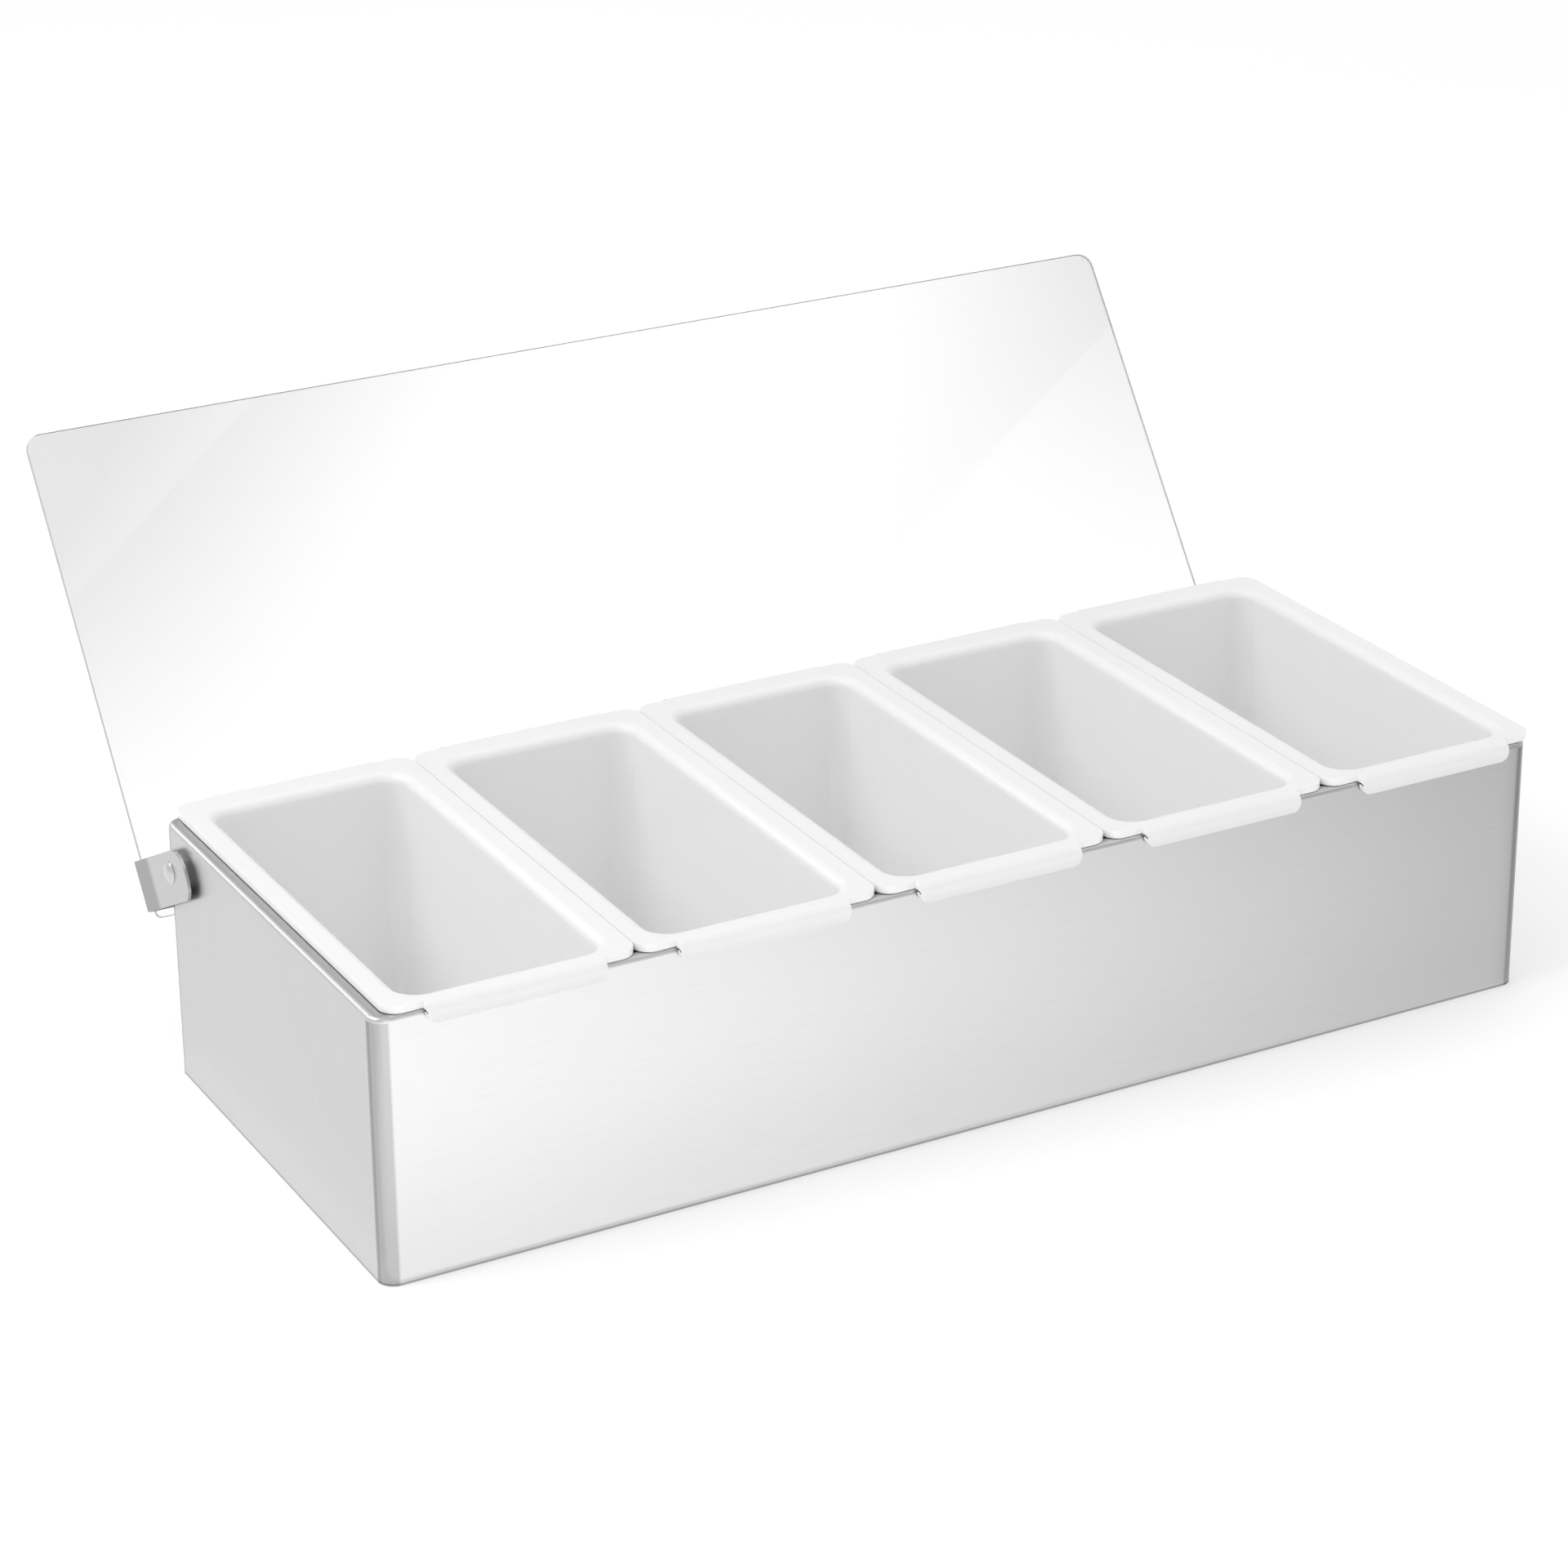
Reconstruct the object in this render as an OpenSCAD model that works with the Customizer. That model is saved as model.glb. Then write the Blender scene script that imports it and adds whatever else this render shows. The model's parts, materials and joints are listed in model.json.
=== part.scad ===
// Bar caddy: an open steel body with five lift-out plastic inserts and one
// clear lid that turns on two riveted side brackets.
//
// Millimetres. +Z is up, +X runs along the body, -Y is the front.
// The origin is the middle of the body's flat underside.
// The model stands with its lid open and its inserts seated.

/* [Body] */
// Outside length of the steel body
body_l = 380; // [330:1:430]
// Outside depth of the steel body
body_d = 150; // [130:1:175]
// Height of the steel body
body_h = 81; // [72:1:90]
// Thickness of the steel sheet
sheet_t = 1; // [0.8:0.1:1.2]
// Outside bend radius of the four upright corners
corner_r = 5; // [4:0.5:8]
// Outside bend radius of the top edge
edge_r = 1.5; // [1.4:0.1:2]
// Gap between the cups and the mouth that the top flange leaves open
mouth_gap = 0.6; // [0.5:0.1:1]
// Corner radius of that mouth
mouth_corner_r = 2; // [1:0.5:4]
// Height of the base pan's upturned edge
pan_edge_h = 10; // [6:1:14]
// Outside bend radius of the base pan
pan_bend_r = 1.5; // [1.3:0.1:1.9]
// Gap between the base pan's edge and the wall it is welded to
pan_gap = 0.05; // [0.02:0.01:0.1]

/* [Inserts] */
// Distance from the body's left face in to the first rim
row_inset = 3.9; // [3:0.1:4.4]
// How far the last rim passes the body's right face
row_overhang = 1.2; // [0:0.1:2]
// Distance from the body's front face back to the rims
rim_setback = 0.4; // [0.2:0.1:1]
// How far the rims pass the body's rear face
rim_rear_overhang = 2.4; // [1:0.1:3]
// Gap between neighbouring rims
rim_gap = 0.2; // [0.1:0.05:0.4]
// Gap between a rim and the flange that it sits on
seat_gap = 0.2; // [0.1:0.05:0.3]
// Wall thickness of the inserts
insert_t = 2.2; // [1.8:0.1:2.4]
// Outer corner radius of a rim
rim_corner_r = 5; // [3:0.5:7]
// Width of a rim's flat at its two sides
rim_side_flat = 4.8; // [4.4:0.2:6]
// Width of a rim's flat at its front
rim_front_flat = 2.4; // [2:0.2:4]
// Width of a rim's flat at its rear
rim_rear_flat = 6.4; // [6:0.2:8]
// Radius that rolls a rim over into its cup
lip_r = 3; // [2.6:0.2:4]
// Draft of the cup walls, in degrees
draft = 2; // [1:0.5:2.5]
// Upright corner radius inside a cup, at its mouth
cup_corner_r = 7; // [6.6:0.2:9]
// Radius between the cup's walls and floor
cup_floor_r = 3.5; // [2:0.5:4]
// Gap between a cup and the base pan
cup_floor_gap = 4; // [2:0.5:8]
// Distance from a rim's side to the end of its tab
tab_inset = 11; // [9:0.5:14]
// Gap between a front tab and the body's front face
tab_gap = 0.4; // [0.3:0.1:0.8]
// How far a tab hangs below the body's top edge
tab_drop = 3.5; // [3:0.5:6]
// Outside radius where a rim rolls over into a tab
tab_roll_r = 3; // [2.6:0.1:3]
// Radius of a tab's lower corners
tab_corner_r = 4; // [2:0.5:4.5]

/* [Lid] */
// Thickness of the clear sheet
lid_t = 2; // [1.5:0.1:3]
// How far the sheet stays inside the body's length at each end
lid_side_gap = 0.2; // [0:0.1:1]
// Corner radius of the free edge
lid_corner_r = 5; // [3:0.5:10]
// Corner radius of the hinged edge
lid_heel_r = 2; // [1:0.5:3]
// How far the sheet runs past the pivot's level on the hinged side
lid_heel = 7; // [6.5:0.5:9]
// How far the closed lid passes the body's front face
lid_overhang = 8.3; // [5:0.1:12]
// Gap between the closed lid and the rims
lid_rest_gap = 0.35; // [0.3:0.05:0.6]
// Lean of the open lid, back from upright, in degrees
lid_lean = 36; // [20:1:45]

/* [Hinge] */
// Distance from the body's rear face in to the pivot
pivot_back = 10; // [9:0.5:12]
// Distance from the body's top edge down to the pivot
pivot_down = 12.5; // [12:0.5:15]
// Radius of the pivot rivet's shank
pivot_r = 2; // [1.5:0.1:2.3]
// Running clearance around and beside the pivot
run_clear = 0.05; // [0.03:0.01:0.08]
// Thickness of the bracket's steel
ear_t = 1; // [0.8:0.1:1.2]
// Gap between the last rim and the bracket's ear
ear_gap = 0.45; // [0.35:0.05:1]
// Distance from the pivot to the ear's round end
ear_nose = 12.8; // [12:0.2:14]
// Distance from the pivot to the ear's upper edge
ear_top = 6.2; // [5.5:0.1:7]
// Distance from the pivot to the ear's lower edge
ear_foot = 9.3; // [8.5:0.1:10]
// Radius of the ear's upper corner
ear_top_r = 9; // [6:0.5:9]
// Radius of the ear's lower corner
ear_foot_r = 4.5; // [3:0.5:4.5]
// Slant of the ear against the lid's square, in degrees
ear_tilt = 8.7; // [6:0.1:10]
// Distance from the pivot to the bracket's lid plate
plate_offset = 29.9; // [28:0.1:31]
// Outside bend radius between the ear and the lid plate
ear_bend_r = 1.5; // [1.4:0.1:2.5]
// Reach of the lid plate along the lid
plate_reach = 24; // [23:1:30]
// Radius of the lid plate's corners
plate_corner_r = 3; // [2:0.5:4]

/* [Rivets and washers] */
// Radius of the pivot rivet's domed head
pivot_head_r = 3.5; // [3:0.1:4]
// Height of the pivot rivet's domed head
pivot_head_h = 1.5; // [1:0.1:2]
// How far a rivet's upset end is wider than its shank, on the radius
upset_extra_r = 1.1; // [0.8:0.1:1.5]
// Height of a rivet's upset end
upset_h = 1.1; // [0.8:0.1:1.5]
// Radius of the washers on the pivot
pivot_washer_r = 5; // [4:0.5:6]
// Thickness of the steel washers
washer_t = 0.8; // [0.5:0.1:1]
// Radius of a lid rivet's shank
lid_rivet_r = 1.5; // [1.2:0.1:1.8]
// Radius of a lid rivet's head
lid_head_r = 2.8; // [2.5:0.1:3.5]
// Height of a lid rivet's head
lid_head_h = 1.2; // [0.8:0.1:1.5]
// Radius of the washers under the lid rivets' heads
lid_washer_r = 4; // [3.5:0.5:4.5]
// Distance from the ear's outer face to the first lid rivet
lid_rivet_inset = 8.5; // [8.5:0.5:9.5]
// Distance between the two lid rivets of a bracket
lid_rivet_pitch = 9.5; // [9.5:0.5:10]
// Radial gap around a fixed rivet's shank
rivet_gap = 0.05; // [0.02:0.01:0.1]

/* [Hidden] */
$fn = 64;
cut = 1; // overshoot of a cutting tool past the face that it opens
lap = 1; // overlap between two shapes that are one piece
arc_steps = 10; // straight pieces in an outline's arc

// Inserts
insert_count = 5;
rim_pitch = (body_l - row_inset + row_overhang + rim_gap) / insert_count;
rim_w = rim_pitch - rim_gap;
rim_d = body_d - rim_setback + rim_rear_overhang;
rim_y = (rim_setback + rim_rear_overhang) / 2;
rim_z = body_h + seat_gap;
rim_top = rim_z + insert_t;
cup_z = sheet_t + cup_floor_gap;
tab_w = rim_w - 2 * tab_inset;
tab_reach = rim_setback + tab_gap + insert_t;
// Distance out from a cup's corner centre to where the rolled lip turns level
lip_x = cup_corner_r + lip_r * (cos(draft) - (1 - sin(draft)) * tan(draft));
cup_x = rim_w / 2 - rim_side_flat - lip_x;
cup_y = (rim_d - rim_front_flat - rim_rear_flat) / 2 - lip_x;
// Distance from a rim's middle to its cup's middle, along Y
cup_shift = (rim_front_flat - rim_rear_flat) / 2;
// Distance out from a cup's corner centre to where the floor's fillet starts
fillet_drop = rim_top - cup_z - insert_t - cup_floor_r * (1 - sin(draft));
fillet_x = cup_corner_r - fillet_drop * tan(draft) - cup_floor_r * cos(draft);

// The mouth in the body's flange clears the outsides of the cups
mouth_in = lip_r - insert_t - mouth_gap;
mouth_x = body_l / 2 + row_overhang - rim_side_flat - mouth_in;
mouth_front = -body_d / 2 + rim_setback + rim_front_flat + mouth_in;
mouth_rear = body_d / 2 + rim_rear_overhang - rim_rear_flat - mouth_in;

// Hinge. What rides on the lid has its own frame at the pivot: Y away from the
// pivot to the sheet, Z up along the open sheet.
spacer_t = row_overhang + ear_gap - run_clear;
ear_in = body_l / 2 + spacer_t + run_clear;
ear_out = ear_in + ear_t;
pivot_y = body_d / 2 - pivot_back;
pivot_z = body_h - pivot_down;
lid_in = plate_offset + ear_t;
lid_out = lid_in + lid_t;
bend_y = lid_in - ear_bend_r;
plate_end = ear_out - plate_reach;
plate_low = bend_y * tan(ear_tilt) - ear_foot / cos(ear_tilt);
plate_high = bend_y * tan(ear_tilt) + ear_top / cos(ear_tilt);

// The closed lid lies on the rims' front edge and slopes down to it
rest_y = pivot_y + body_d / 2 - rim_setback;
rest_z = rim_top + lid_rest_gap - pivot_z;
lid_slope = atan2(rest_y, rest_z) - acos(lid_in / norm([rest_y, rest_z]));
lid_reach = (pivot_y + body_d / 2 + lid_overhang - lid_in * sin(lid_slope)) / cos(lid_slope);
echo(pivot = [0, pivot_y, pivot_z], closed_at = -90 - lid_lean - lid_slope, lid_reach = lid_reach);

// Points along an arc about a middle point
function arc(middle, r, from, to) =
    [for (i = [0:arc_steps]) let (a = from + (to - from) * i / arc_steps)
        middle + r * [cos(a), sin(a)]];

// A point turned about the origin
function turned(p, a) = [p.x * cos(a) - p.y * sin(a), p.x * sin(a) + p.y * cos(a)];

// A flat bar from x = 0, with a round lower and a round upper corner at its end
module round_end(reach, low, high, low_r, high_r) {
    translate([0, low + low_r]) square([reach, high - high_r - low - low_r]);
    translate([0, low]) square([reach - low_r, high - high_r - low]);
    translate([0, low + low_r]) square([reach - high_r, high - low - low_r]);
    translate([reach - low_r, low + low_r]) circle(low_r);
    translate([reach - high_r, high - high_r]) circle(high_r);
}

// A flat rounded rectangle, even about x = 0
module panel(w, low, high, low_r, high_r) {
    for (m = [0, 1]) mirror([m, 0]) round_end(w / 2, low, high, low_r, high_r);
}

// The same shape at both pivots: drawn at the right, mirrored to the left
module at_side(side) {
    mirror([side < 0 ? 1 : 0, 0, 0]) children();
}

// Sweeps an upright half profile around a rectangle of half sizes cx and cy
module around(cx, cy, z0, z1) {
    translate([-cx, -cy, z0]) cube([2 * cx, 2 * cy, z1 - z0]);
    for (x = [-1, 1], y = [-1, 1])
        translate([x * cx, y * cy, 0]) rotate(atan2(y, x) - 45) rotate_extrude(angle = 90) children();
    for (a = [0, 180]) rotate(a) {
        translate([cx, cy, 0]) rotate([90, 0, 0]) linear_extrude(2 * cy) children();
        translate([-cx, cy, 0]) rotate([90, 0, 90]) linear_extrude(2 * cx) children();
    }
}

// A box with bent upright corners r and a bent top edge e
module bent_box(w, d, z0, z1, r, e) {
    around(w / 2 - r, d / 2 - r, z0, z1) {
        translate([0, z0]) square([r, z1 - e - z0]);
        translate([0, z0]) square([r - e, z1 - z0]);
        translate([r - e, z1 - e]) circle(e);
    }
}

// Side walls bent from one strip, with a flange turned in along the top
module body_wall() {
    color("silver") difference() {
        bent_box(body_l, body_d, 0, body_h, corner_r, edge_r);
        bent_box(body_l - 2 * sheet_t, body_d - 2 * sheet_t, -cut, body_h - sheet_t,
                 corner_r - sheet_t, edge_r - sheet_t);
        translate([0, 0, body_h - sheet_t - cut]) linear_extrude(sheet_t + 2 * cut)
            panel(2 * mouth_x, mouth_front, mouth_rear, mouth_corner_r, mouth_corner_r);
        translate([-body_l / 2 - cut, pivot_y, pivot_z]) rotate([0, 90, 0])
            cylinder(h = body_l + 2 * cut, r = pivot_r + rivet_gap);
    }
}

// Bottom sheet, with an upturned edge that is spot-welded inside the walls
module base_pan() {
    w = body_l - 2 * (sheet_t + pan_gap);
    d = body_d - 2 * (sheet_t + pan_gap);
    r = corner_r - sheet_t - pan_gap;
    color("darkgray") translate([0, 0, pan_edge_h]) mirror([0, 0, 1]) difference() {
        bent_box(w, d, 0, pan_edge_h, r, pan_bend_r);
        bent_box(w - 2 * sheet_t, d - 2 * sheet_t, -cut, pan_edge_h - sheet_t,
                 r - sheet_t, pan_bend_r - sheet_t);
    }
}

// Section through a cup's floor, fillet, drafted wall and rolled lip
module cup_section() {
    fillet = [fillet_x, cup_z + insert_t + cup_floor_r];
    roll = [lip_x, rim_top - lip_r];
    polygon([
        [0, cup_z + insert_t],
        [0, cup_z],
        each arc(fillet, cup_floor_r + insert_t, -90, -draft),
        each arc(roll, lip_r - insert_t, 180 - draft, 90),
        [lip_x + lap, rim_z],
        [lip_x + lap, rim_top],
        each arc(roll, lip_r, 90, 180 - draft),
        each arc(fillet, cup_floor_r, -draft, -90)
    ]);
}

// One hanging tab, in front of a rim edge at y = 0: it rolls over and hangs down
module tab() {
    roll = [tab_reach - tab_roll_r, rim_top - tab_roll_r];
    low = body_h - tab_drop;
    intersection() {
        translate([-tab_w / 2, 0, 0]) rotate([90, 0, 90]) linear_extrude(tab_w) mirror([1, 0])
            polygon([
                [-lap, rim_z],
                [-lap, rim_top],
                each arc(roll, tab_roll_r, 90, 0),
                [tab_reach, low],
                [tab_reach - insert_t, low],
                each arc(roll, tab_roll_r - insert_t, 0, 90)
            ]);
        translate([0, 2 * lap, 0]) rotate([90, 0, 0]) linear_extrude(tab_reach + 3 * lap)
            panel(tab_w, low, rim_top + 2 * tab_corner_r, tab_corner_r, tab_corner_r);
    }
}

// Lift-out insert: a drafted cup, its rim and two tabs that hook over the body
module insert(i) {
    x = -body_l / 2 + row_inset + rim_pitch * (i - 1) + rim_w / 2;
    hole_r = lip_x + lap / 2;
    color("white") translate([x, rim_y, 0]) {
        translate([0, cup_shift, 0]) around(cup_x, cup_y, cup_z, cup_z + insert_t) cup_section();
        translate([0, 0, rim_z]) linear_extrude(insert_t) difference() {
            panel(rim_w, -rim_d / 2, rim_d / 2, rim_corner_r, rim_corner_r);
            translate([0, cup_shift])
                panel(2 * (cup_x + hole_r), -cup_y - hole_r, cup_y + hole_r, hole_r, hole_r);
        }
        for (a = [0, 180]) rotate(a) translate([0, -rim_d / 2, 0]) tab();
    }
}

// Places what rides on the lid, in the lid's own frame at the pivot
module on_lid() {
    translate([0, pivot_y, pivot_z]) rotate([-lid_lean, 0, 0]) children();
}

// Places a child at a bracket's two lid rivets, its Z away from the pivot
module at_lid_rivets(side, y) {
    for (n = [0, 1]) at_side(side)
        translate([ear_out - lid_rivet_inset - n * lid_rivet_pitch, y, (plate_low + plate_high) / 2])
            rotate([-90, 0, 0]) children();
}

// Clear lid
module lid_sheet() {
    color("lightcyan", 0.4) on_lid() difference() {
        translate([0, lid_out, 0]) rotate([90, 0, 0]) linear_extrude(lid_t)
            panel(body_l - 2 * lid_side_gap, -lid_heel, lid_reach, lid_heel_r, lid_corner_r);
        for (side = [-1, 1]) at_lid_rivets(side, lid_in - cut)
            cylinder(h = lid_t + 2 * cut, r = lid_rivet_r + rivet_gap);
    }
}

// Side view of a bracket: the slanted ear and, past the bend, the plate's edge
module bracket_side() {
    nose_low = turned([ear_foot_r - ear_nose, ear_foot_r - ear_foot], ear_tilt);
    nose_high = turned([ear_top_r - ear_nose, ear_top - ear_top_r], ear_tilt);
    polygon([
        [bend_y, plate_high],
        [lid_in + cut, plate_high],
        [lid_in + cut, plate_low],
        [bend_y, plate_low],
        each arc(nose_low, ear_foot_r, 270 + ear_tilt, 180 + ear_tilt),
        each arc(nose_high, ear_top_r, 180 + ear_tilt, 90 + ear_tilt)
    ]);
}

// Top view of a bracket: the ear, the bend and the plate that reaches inwards
module bracket_top() {
    bend = [ear_out - ear_bend_r, bend_y];
    polygon([
        [ear_in, -2 * ear_nose],
        [ear_out, -2 * ear_nose],
        each arc(bend, ear_bend_r, 0, 90),
        [plate_end, lid_in],
        [plate_end, plate_offset],
        each arc(bend, ear_bend_r - ear_t, 90, 0)
    ]);
}

// What rounds off the plate's upper corner, seen from behind
module plate_corner() {
    polygon([
        [-cut, cut],
        [plate_corner_r, cut],
        each arc([plate_corner_r, -plate_corner_r], plate_corner_r, 90, 180),
        [-cut, -plate_corner_r]
    ]);
}

// Bent steel bracket: a slanted ear outside the body and a plate inside the lid
module hinge_bracket(side) {
    color("silver") on_lid() difference() {
        at_side(side) difference() {
            intersection() {
                translate([0, 0, -2 * ear_nose]) linear_extrude(4 * ear_nose) bracket_top();
                translate([plate_end - cut, 0, 0]) rotate([90, 0, 90])
                    linear_extrude(plate_reach + 2 * cut) bracket_side();
            }
            translate([0, lid_in + cut, 0]) rotate([90, 0, 0]) linear_extrude(ear_t + 2 * cut) {
                translate([plate_end, plate_high]) plate_corner();
                translate([plate_end, plate_low]) mirror([0, 1]) plate_corner();
            }
            translate([ear_in - cut, 0, 0]) rotate([0, 90, 0])
                cylinder(h = ear_t + 2 * cut, r = pivot_r + run_clear);
        }
        at_lid_rivets(side, plate_offset - cut)
            cylinder(h = ear_t + 2 * cut, r = lid_rivet_r + rivet_gap);
    }
}

// Rivet along Z: a domed head on z = 0, a shank down through what it grips, an upset end
module rivet(shank_r, grip, head_r, head_h) {
    ball_r = (head_r * head_r + head_h * head_h) / (2 * head_h);
    intersection() {
        translate([0, 0, head_h - ball_r]) sphere(ball_r);
        cylinder(h = 2 * head_h, r = 2 * head_r);
    }
    translate([0, 0, -grip]) cylinder(h = grip, r = shank_r);
    translate([0, 0, -grip - upset_h]) cylinder(h = upset_h, r = shank_r + upset_extra_r);
}

// Flat washer on z = 0
module washer(r, h, shank_r) {
    difference() {
        cylinder(h = h, r = r);
        translate([0, 0, -cut]) cylinder(h = h + 2 * cut, r = shank_r + rivet_gap);
    }
}

// Places a child on a pivot at x, its Z out of the body's end
module at_pivot(side, x) {
    at_side(side) translate([x, pivot_y, pivot_z]) rotate([0, 90, 0]) children();
}

// Rivet that the bracket's ear turns on
module pivot_rivet(side) {
    head_x = ear_out + run_clear;
    color("gainsboro") at_pivot(side, head_x)
        rivet(pivot_r, head_x - body_l / 2 + sheet_t + washer_t, pivot_head_r, pivot_head_h);
}

// Spacer that holds the ear clear of the rims
module pivot_spacer(side) {
    color("gray") at_pivot(side, body_l / 2) washer(pivot_washer_r, spacer_t, pivot_r);
}

// Washer under the pivot rivet's upset end, inside the wall
module pivot_washer(side) {
    color("gray") at_pivot(side, body_l / 2 - sheet_t - washer_t)
        washer(pivot_washer_r, washer_t, pivot_r);
}

// The two rivets that hold the sheet to a bracket
module lid_rivets(side) {
    color("gainsboro") on_lid() at_lid_rivets(side, lid_out + washer_t)
        rivet(lid_rivet_r, washer_t + lid_t + ear_t, lid_head_r, lid_head_h);
}

// The washers between those rivets' heads and the clear sheet
module lid_washers(side) {
    color("gray") on_lid() at_lid_rivets(side, lid_out) washer(lid_washer_r, washer_t, lid_rivet_r);
}

body_wall();
base_pan();
insert(1);  // insert_1
insert(2);  // insert_2
insert(3);  // insert_3
insert(4);  // insert_4
insert(5);  // insert_5
lid_sheet();
hinge_bracket(-1);  // hinge_bracket_left
hinge_bracket(1);  // hinge_bracket_right
pivot_rivet(-1);  // pivot_rivet_left
pivot_rivet(1);  // pivot_rivet_right
pivot_spacer(-1);  // pivot_spacer_left
pivot_spacer(1);  // pivot_spacer_right
pivot_washer(-1);  // pivot_washer_left
pivot_washer(1);  // pivot_washer_right
lid_rivets(-1);  // lid_rivets_left
lid_rivets(1);  // lid_rivets_right
lid_washers(-1);  // lid_washers_left
lid_washers(1);  // lid_washers_right
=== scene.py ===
"""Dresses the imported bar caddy: soft white inserts, a clear lid, bent brackets and steel finishes."""

import json
import math

import bmesh
import bpy
from mathutils import Matrix, Vector


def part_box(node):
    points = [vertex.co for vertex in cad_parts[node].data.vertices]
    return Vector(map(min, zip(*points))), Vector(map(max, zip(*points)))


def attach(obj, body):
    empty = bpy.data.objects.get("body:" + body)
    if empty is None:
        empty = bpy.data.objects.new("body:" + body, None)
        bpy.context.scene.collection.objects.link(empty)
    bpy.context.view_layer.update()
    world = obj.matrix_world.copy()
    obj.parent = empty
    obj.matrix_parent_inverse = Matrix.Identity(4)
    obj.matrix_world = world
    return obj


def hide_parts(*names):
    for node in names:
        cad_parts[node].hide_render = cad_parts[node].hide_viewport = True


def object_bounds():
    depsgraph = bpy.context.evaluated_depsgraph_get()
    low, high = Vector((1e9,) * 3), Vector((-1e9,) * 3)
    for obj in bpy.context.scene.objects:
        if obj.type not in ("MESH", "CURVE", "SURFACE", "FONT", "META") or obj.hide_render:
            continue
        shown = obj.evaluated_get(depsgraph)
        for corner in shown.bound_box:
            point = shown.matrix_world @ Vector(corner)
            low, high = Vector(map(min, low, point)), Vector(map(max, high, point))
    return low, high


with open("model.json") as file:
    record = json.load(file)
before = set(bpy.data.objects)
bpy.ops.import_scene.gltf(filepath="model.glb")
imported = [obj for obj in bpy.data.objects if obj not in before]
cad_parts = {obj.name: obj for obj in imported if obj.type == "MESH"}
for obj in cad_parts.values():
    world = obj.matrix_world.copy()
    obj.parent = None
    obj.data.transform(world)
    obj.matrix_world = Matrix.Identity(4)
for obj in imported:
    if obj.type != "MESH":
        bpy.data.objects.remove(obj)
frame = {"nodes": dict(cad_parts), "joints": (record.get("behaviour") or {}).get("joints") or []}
CAD_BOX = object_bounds()

bl_info = {
    "name": "Bar caddy",
    "version": (1, 0, 0),
    "blender": (4, 5, 0),
    "location": "View3D > Sidebar > Bar Caddy",
    "description": "Makes the inserts, the lid and the finishes of a bar caddy around its packed frame",
    "category": "Object",
}

MM = 0.001
NEAR = 1e-6  # points closer than this count as one place, in metres

INSERTS = ["insert_%d" % i for i in range(1, 6)]
SIDES = ["left", "right"]
BODY_LOW, BODY_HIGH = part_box("body_wall")
HINGE = next(joint for joint in frame["joints"] if joint["name"] == "lid_hinge")
PIVOT = Vector(HINGE["pos_m"])

# Faces round a quarter turn
CORNER_STEPS = 12
ROLL_STEPS = 8
SMALL_STEPS = 6

# Satin steel of the body
BRUSHING = (60, 2600)  # streaks to the metre, along the brushing and across it
BEND_RADIUS = 5 * MM  # of the upright corners
BEND_START = 0.02  # share of a corner's radius past which its grain stands upright
# Painted shade round a corner, as (share of the way from the end wall to the front, tone)
BEND_SHADES = ((0.0, 1.0), (0.04, 0.64), (0.28, 0.54), (0.38, 0.74), (0.62, 0.68), (0.985, 0.66),
              (1.0, 1.0))
TOP_BAND = 1.6 * MM  # height of the top edge, which the corners' painted shade leaves alone
FOOT_LINE = 0.7 * MM  # height of the painted dark line along the lower edge, where the body meets the floor
FOOT_SHADE = 0.62
RIGHT_FADE = 11 * MM  # width over which painted shade darkens the front towards its right bend
RIGHT_SHADE = 0.62
FLANGE_EDGE = 1.5 * MM  # how far the top flange's outer edge, which the painted shade leaves alone, reaches in
FLANGE_DEPTH = 0.3 * MM  # depth of the top flange's flat that the painted shade darkens
FLANGE_SHADE = 0.74

# Brackets
BRACKET_GRAIN = (60, 900)  # streaks to the metre, along the grain and across it
BRACKET_WELD = 0.002 * MM  # points of the solid's mesh closer than this are joined
BRACKET_EDGE = 0.2 * MM  # radius of the broken edges
EAR_BEND = (15.5 * MM, 19 * MM)  # from the pivot, where painted shade darkens an ear towards its bend
EAR_SHADES = (0.80, 0.46)  # painted shade at those two distances

# Plastics
PLASTIC_IOR = 1.49
CUP_TOP = 4 * MM  # below the body's top, where the painted light in the cups starts
CUP_PAINTED_LIGHT = (0.975, 1.045)  # painted shade at the rim, and painted light from half the body's height down
TAB_SHADE = 0.86  # painted shade at the lower edge of a hanging tab
SHADE_MIDDLE = 0.17  # where the clear sheet is clearest, as a share of its half length
SHEET_SHADE = 0.74  # painted shade: light that each face lets through in the upper corners
SAW_MARKS = 900  # to the metre
SAWN_TILT = 0.9  # a face of the sheet that is tilted past this cosine is part of its sawn edge

# Camera and stage
IMAGE_PIXELS = 1920  # width and height of the finished image
SENSOR = 36.0  # in millimetres
FOCAL_PIXELS = 5439.4
CAMERA_PLACE = (-0.59523, -1.04772, 0.60881)
CAMERA_HEADING = -28.56  # degrees, from looking along +y
CAMERA_DIP = 22.5  # degrees below level
CAMERA_ROLL = -0.465  # degrees
CAMERA_SHIFT = -0.06  # of the image, upright
FLOOR_SIZE = 60  # in metres, so that no view sees its end
FLOOR_GLOW = 0.2
SKY = 0.8
NEAR_FADE = 0.12  # how far from a card's upper edge it is back at full strength
CARD_HEIGHT = BODY_LOW.z + MM  # of the cards that lie over the floor

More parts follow.
